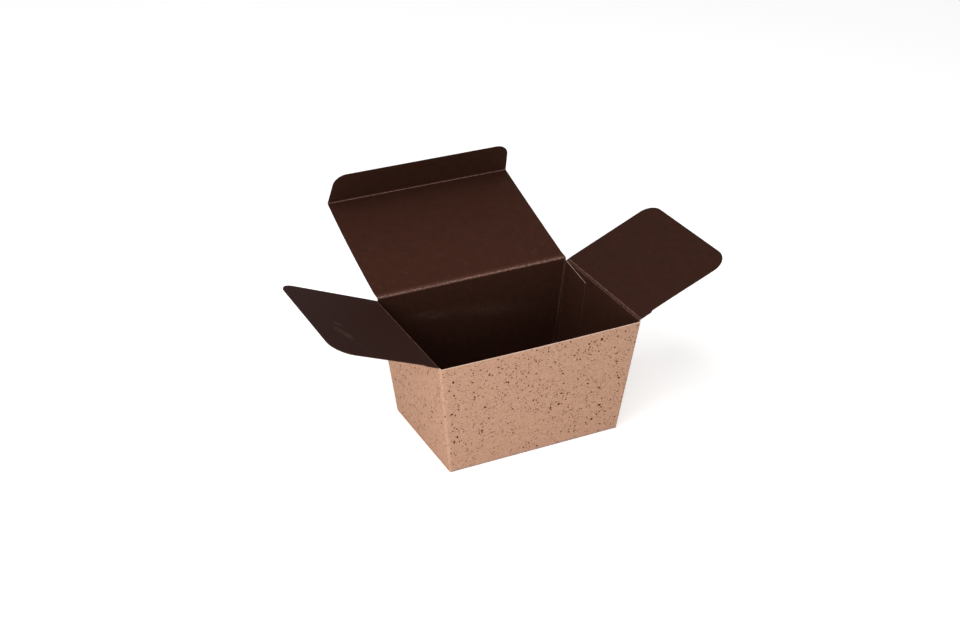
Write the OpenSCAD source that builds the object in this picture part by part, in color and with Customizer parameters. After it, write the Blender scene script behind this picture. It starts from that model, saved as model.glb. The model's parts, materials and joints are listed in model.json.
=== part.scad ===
// A small tapered folding box for pralines, open: four leaning walls and a bottom folded from one
// sheet of card, a flap on each short side, and a lid with a tuck flap hinged on the rear wall.
// The origin lies on the table under the middle of the bottom. X runs along the front wall,
// Y from the front wall to the rear wall, Z up.

/* [Box] */
// Length of the rim, outside
rim_length = 100; // [90:0.5:130]
// Depth of the rim from front to rear, outside
rim_depth = 69; // [60:0.5:90]
// Length of the bottom, outside
base_length = 86; // [75:0.2:100]
// Depth of the bottom from front to rear, outside
base_depth = 58.8; // [50:0.2:75]
// Height of the front wall above the table
box_height = 58; // [45:0.1:80]
// Radius of the four upright folds, outside
fold_radius = 1.0; // [0.6:0.1:3]

/* [Card] */
// Thickness of the card
card = 0.35; // [0.25:0.05:0.6]
// Radius of the bead pressed along each fold that moves
bead_radius = 0.35; // [0.3:0.01:0.5]
// Gap between a bead and the panel that it folds on
crease_gap = 0.1; // [0.05:0.01:0.3]
// Room between sheets that slide past each other
slide_gap = 0.15; // [0.1:0.01:0.4]

/* [Side flaps] */
// Depth of each side flap, from its fold to its free edge
flap_depth = 50.8; // [40:0.1:54]
// Radius of the free corner towards the rear
flap_rear_radius = 7.5; // [3:0.1:12]
// Radius of the free corner towards the front
flap_front_radius = 9; // [3:0.1:12]
// Distance of the flap's rear edge from the outside of the rear wall
flap_rear_inset = 0.6; // [0.6:0.05:2]
// Length of the shoulder at the fold, on the front edge
shoulder_length = 6; // [3:0.1:10]
// How far the front edge steps in behind the shoulder
shoulder_step = 0.9; // [0.3:0.1:2]
// Length over which the front edge steps in
step_length = 1.8; // [1:0.1:4]
// Lean of the left flap from upright, outwards
left_lean = 67.3; // [0:0.1:140]
// Lean of the right flap from upright, outwards
right_lean = 66.6; // [0:0.1:140]

/* [Lid] */
// Height of the lid's fold above the folds of the side flaps
lid_rise = 1.05; // [1:0.05:2]
// Distance of the lid's sides from the outside of the side walls, at the rear
lid_side_inset = 0.5; // [0.4:0.05:2]
// How much more the lid's sides come in towards its tuck flap
lid_side_taper = 0.6; // [0:0.05:1]
// Lean of the lid from upright, to the rear
lid_lean = 72.5; // [0:0.1:120]

/* [Tuck flap] */
// Depth of the tuck flap, from its fold to its free edge
tuck_depth = 18.3; // [12:0.1:25]
// Angle by which the sides of the tuck flap come in
tuck_taper = 8; // [7:0.5:15]
// Radius of the tuck flap's free corners
tuck_radius = 9; // [3:0.1:12]
// How much the tuck flap is bent further in than the front wall leans
tuck_extra_bend = 0.5; // [0:0.1:3]

/* [Glued seam] */
// Width of the glued seam flap at the rim
seam_width = 21.5; // [10:0.1:30]
// Width of the glued seam flap at the bottom
seam_foot_width = 18; // [8:0.1:25]
// How far the top of the seam flap slopes down to its free edge
seam_slope = 3; // [0:0.1:8]

/* [Bottom] */
// Distance of the outer bottom panel's free edges from the walls' outside
panel_inset = 0.5; // [0.2:0.05:2]
// Depth of the two short bottom flaps inside
dust_flap_depth = 24; // [10:0.5:30]
// Size of the cut corners of the short bottom flaps
dust_flap_cut = 3; // [0:0.1:6]

/* [Hidden] */
$fn = 48;
arc_steps = 10;
bite = 0.05;
kraft = [0.75, 0.59, 0.49];
cocoa = [0.25, 0.16, 0.13];

// Leans of the side walls and of the front and rear walls, from upright
side_lean = atan((rim_length - base_length) / 2 / box_height);
front_lean = atan((rim_depth - base_depth) / 2 / box_height);

// Tops of the walls: each stops just under the bead of the fold above it
side_top = box_height - bead_radius - crease_gap;
rear_top = box_height + lid_rise - bead_radius - crease_gap;

// Axes of the folds
flap_fold_x = rim_length / 2 - card / 2;
lid_fold_y = half_depth(box_height + lid_rise) - card / 2;
lid_fold_z = box_height + lid_rise;
tuck_bend = 90 + front_lean + tuck_extra_bend;
tuck_fold_y = -rim_depth / 2 + card + slide_gap + card / 2 - lid_rise * tan(tuck_bend - 90);
lid_length = lid_fold_y - tuck_fold_y;

// Front edges of the side flaps: the tuck flap slides between them and the front wall
flap_front_inset = card + slide_gap + card + slide_gap;
flap_front = -rim_depth / 2 + flap_front_inset;
flap_rear = rim_depth / 2 - flap_rear_inset;

// Half widths of the lid at its two folds
lid_rear_half = rim_length / 2 - lid_side_inset;
lid_front_half = lid_rear_half - lid_side_taper;

// Half of the outer length and of the outer depth of the walls at a height
function half_length(z) = (base_length + (rim_length - base_length) * z / box_height) / 2;
function half_depth(z) = (base_depth + (rim_depth - base_depth) * z / box_height) / 2;

// Points of an arc about a centre, from one angle to another
function arc(centre, radius, from, to) =
    [for (i = [0:arc_steps]) let (a = from + (to - from) * i / arc_steps)
        centre + radius * [cos(a), sin(a)]];

// Outline of the walls at a height, taken in by an inset, with round upright folds
function wall_outline(z, inset) =
    let (x = half_length(z) - inset, y = half_depth(z) - inset, r = fold_radius - inset)
    concat(arc([x - r, y - r], r, 0, 90), arc([r - x, y - r], r, 90, 180),
           arc([r - x, r - y], r, 180, 270), arc([x - r, r - y], r, 270, 360));

// The solid within the walls between two heights
module tapered_block(inset, low, high) {
    ring = len(wall_outline(0, inset));
    points = concat([for (p = wall_outline(low, inset)) [p[0], p[1], low]],
                    [for (p = wall_outline(high, inset)) [p[0], p[1], high]]);
    sides = [for (i = [0:ring - 1]) let (j = (i + 1) % ring) [i, i + ring, j + ring, j]];
    polyhedron(points, concat([[for (i = [0:ring - 1]) i]], sides,
                              [[for (i = [ring - 1:-1:0]) i + ring]]), convexity = 4);
}

// A block that covers the whole box up to a height, between two depths
module slab(rear, front, top)
    translate([-rim_length, front, 0]) cube([2 * rim_length, rear - front, top]);

module walls() {
    intersection() {
        difference() {
            tapered_block(0, card, rear_top);
            tapered_block(card, 0, rear_top + 1);
        }
        union() {
            slab(rim_depth, -rim_depth, side_top);
            slab(flap_front - crease_gap, -rim_depth, box_height);
            slab(rim_depth, flap_rear + crease_gap, rear_top);
        }
    }
}

// The seam flap goes on from the rear wall and is glued to the inside of the right wall
module seam_flap() {
    reach = (box_height - card) / cos(side_lean);
    top_rear = half_depth(side_top) - card + bite;
    foot_rear = half_depth(card) - card + bite;
    drop = (box_height - side_top) / cos(side_lean);
    translate([rim_length / 2 - card, 0, box_height])
        rotate([0, side_lean, 0])
            rotate([90, 0, 90])
                translate([0, 0, -card])
                    linear_extrude(card + bite)
                        polygon([[top_rear, -drop], [foot_rear, -reach],
                                 [foot_rear - seam_foot_width, -reach],
                                 [top_rear - seam_width, -drop - seam_slope]]);
}

// The bottom: an outer panel from the front wall over one from the rear wall, glued together,
// and a short flap from each side wall on top of them inside
module bottom() {
    translate([-base_length / 2 + panel_inset, -base_depth / 2, 0])
        cube([base_length - 2 * panel_inset, base_depth - panel_inset, card]);
    translate([0, 0, card])
        linear_extrude(card)
            square([base_length - card, base_depth - card], center = true);
    for (side = [-1, 1])
        scale([side, 1, 1])
            translate([0, 0, 2 * card])
                linear_extrude(card)
                    dust_flap_outline();
}

module dust_flap_outline() {
    outer = half_length(2 * card) - card / 2;
    inner = outer - dust_flap_depth;
    side = half_depth(2 * card) - card - slide_gap;
    polygon([[outer, side], [inner + dust_flap_cut, side], [inner, side - dust_flap_cut],
             [inner, dust_flap_cut - side], [inner + dust_flap_cut, -side], [outer, -side]]);
}

module box_body()
    color(kraft) {
        walls();
        seam_flap();
        bottom();
    }

// Outline of a side flap: along X from its front to its rear edge, along Y away from the fold
function flap_front_edge() =
    [for (i = [0:arc_steps]) let (t = i / arc_steps)
        [flap_front + shoulder_step * (1 - cos(180 * t)) / 2, shoulder_length + step_length * t]];

function flap_outline() =
    let (front = flap_front + shoulder_step, r = flap_front_radius, q = flap_rear_radius)
    concat([[flap_rear, 0]], arc([flap_rear - q, flap_depth - q], q, 0, 90),
           arc([front + r, flap_depth - r], r, 90, 180), [for (i = [arc_steps:-1:0]) flap_front_edge()[i]],
           [[flap_front, 0]]);

// A side flap standing upright on its fold, which lies along Y through the origin
module side_flap() {
    rotate([90, 0, 90])
        linear_extrude(card, center = true)
            polygon(flap_outline());
    translate([0, flap_rear, 0])
        rotate([90, 0, 0])
            cylinder(r = bead_radius, h = flap_rear - flap_front);
}

module left_flap()
    color(cocoa)
        translate([-flap_fold_x, 0, box_height])
            rotate([0, -left_lean, 0])
                side_flap();

module right_flap()
    color(cocoa)
        translate([flap_fold_x, 0, box_height])
            rotate([0, right_lean, 0])
                side_flap();

// A bead along X through the origin
module cross_bead(half)
    translate([-half, 0, 0])
        rotate([0, 90, 0])
            cylinder(r = bead_radius, h = 2 * half);

module lid_panel()
    color(cocoa)
        translate([0, lid_fold_y, lid_fold_z])
            rotate([-lid_lean, 0, 0]) {
                far_edge = lid_length - bead_radius - crease_gap;
                rotate([90, 0, 0])
                    linear_extrude(card, center = true)
                        polygon([[-lid_rear_half, 0], [lid_rear_half, 0],
                                 [lid_front_half, far_edge], [-lid_front_half, far_edge]]);
                cross_bead(lid_rear_half);
            }

// Outline of the tuck flap: its round corners touch its leaning sides and its free edge
function tuck_outline() =
    let (d = tuck_depth, r = tuck_radius, t = tuck_taper,
         x = lid_front_half - (r + (d - r) * sin(t)) / cos(t))
    concat([[lid_front_half, 0]], arc([x, d - r], r, t, 90), arc([-x, d - r], r, 90, 180 - t),
           [[-lid_front_half, 0]]);

module tuck_flap()
    color(cocoa)
        translate([0, lid_fold_y, lid_fold_z])
            rotate([-lid_lean, 0, 0])
                translate([0, 0, lid_length])
                    rotate([tuck_bend, 0, 0]) {
                        rotate([90, 0, 0])
                            linear_extrude(card, center = true)
                                polygon(tuck_outline());
                        cross_bead(lid_front_half);
                    }

box_body();
left_flap();
right_flap();
lid_panel();
tuck_flap();
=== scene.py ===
"""A small tapered praline box of two-sided card, standing open.

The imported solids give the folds, the rim, the bottom and the leans of the panels. This script
dresses them as thin card: kraft with dark flecks outside, cocoa inside, pale where it is cut,
and pressed into beads along the folds that move. X runs along the front wall, Y from the front
wall to the rear wall, Z up. Lengths are in metres, and pattern sizes in millimetres.
"""

import json
from math import cos, hypot, pi, radians, sin, tan
from types import SimpleNamespace

import bpy
import numpy as np
from bpy.props import FloatProperty, FloatVectorProperty, PointerProperty
from mathutils import Matrix

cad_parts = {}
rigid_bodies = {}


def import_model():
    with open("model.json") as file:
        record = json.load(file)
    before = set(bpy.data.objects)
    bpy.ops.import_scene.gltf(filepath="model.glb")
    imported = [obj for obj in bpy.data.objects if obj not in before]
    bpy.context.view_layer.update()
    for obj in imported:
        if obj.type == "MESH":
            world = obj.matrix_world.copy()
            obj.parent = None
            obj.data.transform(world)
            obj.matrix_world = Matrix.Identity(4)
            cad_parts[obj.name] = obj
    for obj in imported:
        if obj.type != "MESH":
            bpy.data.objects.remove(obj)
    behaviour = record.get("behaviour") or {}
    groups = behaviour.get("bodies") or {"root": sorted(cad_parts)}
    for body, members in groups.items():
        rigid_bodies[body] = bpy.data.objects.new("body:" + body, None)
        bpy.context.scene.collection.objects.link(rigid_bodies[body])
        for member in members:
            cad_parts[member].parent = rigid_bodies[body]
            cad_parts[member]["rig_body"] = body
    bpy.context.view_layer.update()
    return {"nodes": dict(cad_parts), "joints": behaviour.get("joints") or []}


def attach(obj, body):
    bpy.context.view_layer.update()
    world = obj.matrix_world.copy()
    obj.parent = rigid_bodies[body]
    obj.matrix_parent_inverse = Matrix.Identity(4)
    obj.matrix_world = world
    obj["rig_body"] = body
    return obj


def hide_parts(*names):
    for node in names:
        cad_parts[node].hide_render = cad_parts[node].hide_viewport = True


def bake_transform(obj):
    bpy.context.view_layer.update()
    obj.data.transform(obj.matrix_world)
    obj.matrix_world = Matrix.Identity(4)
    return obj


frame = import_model()

bl_info = {
    "name": "Praline box",
    "version": (1, 0, 0),
    "blender": (4, 5, 0),
    "location": "View3D > Sidebar > Praline box",
    "description": "Folds a small praline box from two-sided card and sets up its studio",
    "category": "Add Mesh",
}

MM = 0.001
X, Y, Z = np.eye(3)

# Faces of a sheet of card, in the order of its material slots
INSIDE, OUTSIDE, CUT = 0, 1, 2

# Steps into which the walls are divided: up a wall, along it, round an upright fold and along
# the glued flap
WALL_ROWS, WALL_STEPS, ROUND_STEPS, SEAM_STEPS = 36, 40, 8, 16

# Steps of a bottom panel: across its fold, over the rest of it, and along the fold
FOOT_ROWS, BOTTOM_ROWS, BOTTOM_COLUMNS = 15, 20, 30

# Steps of a side flap: over its shoulder, over the step behind that, over its straight part, and
# along the fold
SHOULDER_ROWS, STEP_ROWS, STRAIGHT_ROWS, FLAP_COLUMNS = 12, 8, 13, 40

# Steps of the lid and of the tuck flap up to its round corners, and of both along their folds
LID_ROWS, TUCK_ROWS, LID_COLUMNS = 40, 12, 50

# Steps across and along a crease
CREASE_ROWS, CREASE_COLUMNS = 36, 80


# Settings


def length(name, description, default_mm, low_mm=0.0, high_mm=200.0):
    """A property that holds a length, given in millimetres and kept in metres."""
    return FloatProperty(
        name=name, description=description, default=default_mm * MM, min=low_mm * MM,
        max=high_mm * MM, unit="LENGTH", subtype="DISTANCE", precision=5)


def angle(name, description, default_degrees):
    """A property that holds an angle, given in degrees and kept in radians."""
    return FloatProperty(
        name=name, description=description, default=radians(default_degrees),
        min=-pi, max=pi, unit="ROTATION", subtype="ANGLE")


def colour(name, description, red, green, blue):
    """A property that holds a colour, given as the 0 to 255 values that a screen shows."""
    screen = np.array([red, green, blue]) / 255
    linear = np.where(screen > 0.04045, ((screen + 0.055) / 1.055) ** 2.4, screen / 12.92)
    return FloatVectorProperty(
        name=name, description=description, default=tuple(float(c) for c in linear),
        min=0.0, max=1.0, size=3, subtype="COLOR")


def share(name, description, default, high=1.0):
    """A property that holds a plain share or strength."""
    return FloatProperty(
        name=name, description=description, default=default, min=0.0, max=high,
        subtype="FACTOR")


class CardSizes(bpy.types.PropertyGroup):
    """The card itself, its folds and its glue"""

    thickness: length("Thickness", "Thickness of the card", 0.35)
    cut_bulge: length("Cut bulge", "How far a cut edge swells between its two faces", 0.03)
    glue: length("Glue", "Gap that glue leaves between two sheets", 0.02)
    front_fold: length("Front folds", "Outer radius of the two upright folds in front", 1.0)
    rear_fold: length("Rear folds", "Outer radius of the two upright folds at the rear", 0.6)
    foot_reach: length("Foot folds", "Card on each side that the bend of a bottom fold takes", 0.5)
    crease_reach: length("Crease bend", "Card on each side that the bend of a crease takes", 0.5)
    crease_room: length("Crease room", "Card on each side of a moving fold in its crease", 0.9)
    turn_reach: length("Crease turn", "Card on each side that turns as the fold moves", 0.75)
    bead_height: length("Bead height", "Height of the two beads pressed inside a crease", 0.09)
    bead_offset: length("Bead offset", "Distance of each bead from the middle of its fold", 0.56)
    bead_width: length("Bead width", "Half width of each bead", 0.18)
    wall_bow: length("Wall bow", "How far the middle of each wall bows outwards", 0.15)
    rim_bow: length("Rim bow", "How far the middle of the front rim bows outwards", 0.5)
    step: length("Step", "Width in which a cut edge steps up beside a fold", 0.05)


class BoxSizes(bpy.types.PropertyGroup):
    """The front rim, the glued seam and the bottom panels"""

    rim_drop: length("Rim drop", "How far the front rim lies below the side folds", 0.6)
    seam_fold: length("Seam fold", "Outer radius of the glued flap's fold at the rim", 0.9)
    seam_foot_fold: length("Seam foot fold", "The same radius at the bottom", 2.2)
    score_drift: length("Score drift", "Pressed line from that fold, at the bottom", 1.4)
    seam_setback: length("Seam setback", "Right wall's cut edge from the rear wall's outside", 0.3)
    seam_width: length("Seam width", "Width of the glued flap at the rim", 19.6)
    seam_foot_width: length("Seam foot width", "Width of the glued flap at the bottom", 18.0)
    seam_top: length("Seam top", "Distance of the glued flap's top below the side fold", 0.7)
    seam_slope: length("Seam slope", "How far the glued flap's top slopes down", 3.0)
    corner_front: length("Corner foot", "Height of an upright fold's foot beside the front", 0.1)
    corner_side: length("Corner side foot", "Height of an upright fold's foot beside a side", 0.5)
    panel_inset: length("Panel inset", "Free edges of a bottom panel from the walls' outside", 0.05)
    dust_depth: length("Dust flap depth", "Depth of the two short flaps inside the bottom", 24.0)
    dust_cut: length("Dust flap cut", "Size of the cut corners of the short flaps", 3.0)


class FlapSizes(bpy.types.PropertyGroup):
    """Outline of the two side flaps"""

    shoulder: length("Shoulder", "Length of the shoulder beside the fold", 5.8)
    step: length("Step", "How far the front edge steps in behind the shoulder", 0.8)
    step_length: length("Step length", "Length over which the front edge steps in", 1.7)
    front_flare: length("Front flare", "How far the front edge comes out again to its corner", 0.8)
    front_radius: length("Front corner", "Radius of the free corner in front", 9.5)
    rear_radius: length("Rear corner", "Radius of the free corner at the rear", 7.5)
    rear_spread: length("Rear spread", "How far the rear edge goes out behind the crease", 0.2)
    spread_length: length("Spread length", "Length over which the rear edge goes out", 1.0)


class LidSizes(bpy.types.PropertyGroup):
    """Outline of the lid and of its tuck flap"""

    rear_shift: length("Rear shift", "How far the lid lies to the left behind its crease", 0.3)
    shift_length: length("Shift length", "Length over which the lid comes to lie there", 3.0)
    left_half: length("Left half", "Left end of the tuck fold from the middle", 47.5)
    right_half: length("Right half", "Right end of the tuck fold from the middle", 49.4)
    left_taper: angle("Left taper", "How much the tuck flap's left side comes in", 5.5)
    right_taper: angle("Right taper", "How much the tuck flap's right side comes in", 7.5)
    left_radius: length("Left corner", "Radius of the tuck flap's left corner", 6.5)
    right_radius: length("Right corner", "Radius of the tuck flap's right corner", 7.5)


class CardWear(bpy.types.PropertyGroup):
    """Wear, with painted highlight along the upright folds, and painted shade on the feet of the
    walls and on cut edges
    """

    line: share("Fold line", "Wear of the line inside each upright fold", 0.2)
    line_reach: length("Fold line reach", "Reach of that line on each side", 0.3)
    # Wear and painted highlight: these lighten the kraft along the upright folds
    fold: share("Worn folds", "Wear outside along the upright folds", 0.12)
    fold_reach: length("Worn fold reach", "Reach of that wear on each side", 2.0)
    rim: share("Worn rim", "Wear outside along the front rim", 1.5, 2.0)
    rim_reach: length("Worn rim reach", "Reach of that wear below the rim", 0.3)
    stretched: share("Stretched creases", "Wear outside along the folds that move", 0.6)
    # Painted shade along the foot of the walls and under the front fold of the bottom
    front_soil: share("Front soil", "Soil on the foot of the front wall", 0.3)
    side_soil: share("Side soil", "Soil on the feet of the other walls", 0.15)
    soil_reach: length("Soil reach", "Reach of the soil up a wall", 1.0)
    bottom_reach: length("Bottom soil reach", "Reach of the soil under the bottom", 1.5)
    # Painted shade: these darken cut edges towards cocoa where they lie in shade
    cut_ink: share("Inked cuts", "Dragged print on the cut edges of flaps and lid", 0.98)
    seam_ink: share("Inked seam edge", "Dragged print on the glued flap's free edge", 0.96)
    seam_top_ink: share("Inked seam top", "Dragged print on the glued flap's top", 0.5)


class CardColours(bpy.types.PropertyGroup):
    """Colours of the card's two faces and of its core"""

    kraft: colour("Kraft", "Ground of the outside", 173, 133, 109)
    # Pale kraft also serves as the painted highlight along the upright folds
    kraft_pale: colour("Pale kraft", "Lighter fibres and worn folds of the outside", 196, 157, 132)
    fleck: colour("Fleck", "Dark flecks in the outside", 84, 32, 6)
    # Painted shade: a bluish grey that stands for the shadow along the foot of the walls
    soiled: colour("Soiled kraft", "Where the foot of the walls is soiled", 125, 140, 155)
    cocoa: colour("Cocoa", "Ground of the inside", 58, 32, 25)
    cocoa_deep: colour("Deep cocoa", "Darker clouds of the inside", 48, 30, 22)
    # Painted light: the lighter cocoa that the lid's inside takes where it faces the lamps
    cocoa_thin: colour("Thin cocoa", "Where the print of the inside is thinner", 64, 37, 28)
    # Painted shade and reflection: the darker, greyer cocoa of the left flap, which faces away from
    # the lamps and mirrors the white round it
    cocoa_grey: colour("Grey cocoa", "Greyer print of the left flap", 48, 29, 25)
    rubbed: colour("Rubbed cocoa", "Where the cocoa print has worn along a crease", 150, 115, 102)
    core: colour("Core", "Cut edges of the card", 250, 226, 208)


class Studio(bpy.types.PropertyGroup):
    """Camera, lamps and background"""

    azimuth: angle("Azimuth", "Turn of the camera about the box, from straight in front", -26.402)
    elevation: angle("Elevation", "Height of the camera above the horizon", 28.675)
    roll: angle("Roll", "Turn of the picture about the line of sight", 0.357)
    distance: length("Distance", "Camera to the point that it looks at", 718.24, 100.0, 5000.0)
    aim_left: length("Aim to the left", "Point looked at, left of the middle", 13.995)
    aim_height: length("Aim height", "Point looked at, above the table", 56.234)
    lens: length("Lens", "Focal length on a sensor 36 mm wide", 59.705)
    dome: share("Dome", "Strength of the even light from all round", 0.3, 4.0)
    floor_glow: share("Floor glow", "White that the floor adds to its lit white", 0.55)


class Settings(bpy.types.PropertyGroup):
    """Everything that a user may change on the praline box"""

    card: PointerProperty(type=CardSizes, name="Card", description="Card and folds")
    box: PointerProperty(type=BoxSizes, name="Box", description="Seam and bottom")
    flaps: PointerProperty(type=FlapSizes, name="Side flaps", description="Side flaps' outline")
    lid: PointerProperty(type=LidSizes, name="Lid", description="Outline of lid and tuck flap")
    wear: PointerProperty(type=CardWear, name="Wear", description="Wear, painted shade and painted highlight")
    colours: PointerProperty(type=CardColours, name="Colours", description="Colours of the card")
    studio: PointerProperty(type=Studio, name="Studio", description="Camera and light")


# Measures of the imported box


def unit(vectors):
    """Vectors scaled to a length of one."""
    return vectors / np.linalg.norm(vectors, axis=-1, keepdims=True)


def solid_points(node):
    """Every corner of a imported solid, one row each."""
    mesh = frame["nodes"][node].data
    points = np.empty(len(mesh.vertices) * 3, np.float32)
    mesh.vertices.foreach_get("co", points)
    return points.reshape(-1, 3).astype(float)


def reach_of(node, axis, outward):
    """Direction and depth of a flat panel: from its fold's axis to the mean of the points of its
    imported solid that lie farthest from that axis."""
    same_distance = 0.02 * MM
    points = solid_points(node) - axis
    flat = np.stack([points @ outward, points @ Z], 1)
    distance = np.hypot(flat[:, 0], flat[:, 1])
    out, up = flat[distance > distance.max() - same_distance].mean(0)
    depth = hypot(out, up)
    return (out * outward + up * Z) / depth, depth


def measure_box(settings):
    """Rim, bottom, wall slopes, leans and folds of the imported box, from its solids and joints.
    The walls run straight from their lowest points, one card above the table, to their folds."""
    card = settings.card.thickness
    axes = {joint["name"]: np.array(joint["pos_m"]) for joint in frame["joints"]}
    body = solid_points("box_body")
    low = np.abs(body[body[:, 2] < 1.1 * card, :2]).max(0)
    rim = np.array([axes["right_flap_fold"][0], axes["lid_fold"][1]]) + card / 2
    heights = np.array([axes["right_flap_fold"][2], axes["lid_fold"][2]])
    slope = (rim - low) / (heights - card)
    left, flap_depth = reach_of("left_flap", axes["left_flap_fold"], -X)
    right, _ = reach_of("right_flap", axes["right_flap_fold"], X)
    lid = axes["tuck_fold"] - axes["lid_fold"]
    tuck, tuck_depth = reach_of("tuck_flap", axes["tuck_fold"], Y)
    return SimpleNamespace(
        card=card, base=low - slope * card, slope=slope, axes=axes, height=heights[0],
        lid_height=heights[1], left=left, right=right, flap_depth=flap_depth, lid=unit(lid),
        lid_depth=np.linalg.norm(lid), tuck=tuck, tuck_depth=tuck_depth,
        left_up=unit(Z - slope[0] * X), right_up=unit(Z + slope[0] * X),
        front_up=unit(Z - slope[1] * Y), rear_up=unit(Z + slope[1] * Y))


def half_sizes(box, height):
    """Half length and half depth of the walls' outside at a height, or at each of a column."""
    return box.base + box.slope * height


def sheet_places(box, card):
    """Where the middle of each fold lies on the sheet: its distance round the walls from the
    front left fold, and its height up the wall."""
    length_half, depth_half = half_sizes(box, box.height) - box.card / 2
    front, rear = card.front_fold, card.rear_fold
    left = pi / 4 * front + depth_half - front
    back = left + depth_half - rear + pi / 2 * rear + length_half - rear
    right = -(pi / 4 * front + 2 * (length_half - front) + pi / 2 * front + depth_half - front)
    return {"left": (left, box.height), "right": (right, box.height),
            "lid": (back, box.lid_height), "tuck": (back, box.lid_height + box.lid_depth)}


# Sheets of card


def smooth(t):
    """Eases from 0 to 1: three times the square less twice the cube, held outside that range."""
    t = np.clip(t, 0, 1)
    return t * t * (3 - 2 * t)


def bell(distance, reach):
    """A bell curve: e to the power of minus the square of the distance over the reach."""
    return np.exp(-((distance / reach) ** 2))


def eased(steps):
    """Places from 0 to 1 that crowd at both ends: half of one less the cosine of even angles."""
    return (1 - np.cos(np.linspace(0, pi, steps + 1))) / 2


def fold_path(sigma, before, after, reach):
    """Middle line of a sheet across a fold, from its axis, with the direction at each point.
    sigma is the distance along the card from the fold. Up to reach before the axis the line is
    straight along one direction, from reach past it straight along the other, and between them
    it is the parabola that touches both."""
    t = np.clip((sigma + reach) / (2 * reach), 0, 1)[:, None]
    bent = -((1 - t) ** 2) * reach * before + t**2 * reach * after
    straight = (np.minimum(sigma + reach, 0)[:, None] * before
                + np.maximum(sigma - reach, 0)[:, None] * after)
    return bent + straight, unit((1 - t) * before + t * after)


def folded_sheet(axis, along, before, after, reach, sigma, low, high, columns, origin):
    """Middle surface of a sheet across a fold. Each row of points lies at one distance sigma on
    the fold's path, spread along the axis from low to high, and the inside's direction is the
    cross product of the axis and the path's direction. origin is the fold's place on the flat
    sheet."""
    path, direction = fold_path(sigma, before, after, reach)
    spread = low[:, None] + eased(columns) * (high - low)[:, None]
    distance = np.broadcast_to(sigma[:, None], spread.shape)
    return SimpleNamespace(
        points=axis + path[:, None, :] + spread[:, :, None] * along,
        inward=np.broadcast_to(np.cross(along, direction)[:, None, :], (*spread.shape, 3)),
        sheet=np.stack([spread, distance], -1) + origin, sigma=distance)


def border_ring(rows, columns):
    """Numbers of the grid's border points in order, with the grid on the left of the ring when
    it is seen from the inside."""
    number = np.arange(rows * columns).reshape(rows, columns)
    return np.concatenate(
        [number[0, :-1], number[:-1, -1], number[-1, :0:-1], number[:0:-1, 0]])


def card_mesh(grid, card, bulge, bead=0.0, first_cut=False, last_cut=True):
    """Corners, faces and face kinds of a sheet of card, as one closed solid round its middle
    surface. The inside is that surface moved inwards by half the thickness and the bead, the
    outside the same surface moved outwards by half the thickness. Round the border, two rows
    between them swell by the sine of the way across times the bulge, in the sheet's own plane.
    first_cut and last_cut say which steps of the first and last row are cut edges. The others
    meet another sheet, and stay flat."""
    rows, columns = grid.sigma.shape
    number = np.arange(rows * columns).reshape(rows, columns)
    cells = np.stack(
        [number[:-1, :-1], number[:-1, 1:], number[1:, 1:], number[1:, :-1]], -1).reshape(-1, 4)
    middle, inward = grid.points.reshape(-1, 3), grid.inward.reshape(-1, 3)
    lift = card / 2 + np.broadcast_to(bead, (rows, columns)).reshape(-1, 1)
    inside, outside = middle + inward * lift, middle - inward * card / 2

    ring = border_ring(rows, columns)
    along = middle[np.roll(ring, -1)] - middle[ring]
    sides = np.ones(rows - 1)
    cut = np.concatenate([
        np.broadcast_to(first_cut, columns - 1), sides,
        np.broadcast_to(last_cut, columns - 1)[::-1], sides])
    outwards = unit(np.cross(along, inward[ring])) * cut[:, None]
    push = outwards + np.roll(outwards, 1, 0)
    push = push / np.maximum(np.linalg.norm(push, axis=1, keepdims=True), 1e-9)
    swollen = [
        inside[ring] * (1 - t) + outside[ring] * t + push * bulge * sin(pi * t)
        for t in (1 / 3, 2 / 3)]

    total = rows * columns
    order = np.arange(len(ring))
    levels = [ring, order + 2 * total, order + 2 * total + len(ring), ring + total]
    edges = [
        np.stack([upper, lower, np.roll(lower, -1), np.roll(upper, -1)], 1)
        for upper, lower in zip(levels, levels[1:])]
    faces = np.concatenate([cells, cells[:, ::-1] + total, *edges])
    kinds = np.repeat([INSIDE, OUTSIDE, CUT], [len(cells), len(cells), 3 * len(ring)])
    return np.concatenate([inside, outside, *swollen]), faces, kinds, ring


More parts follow.
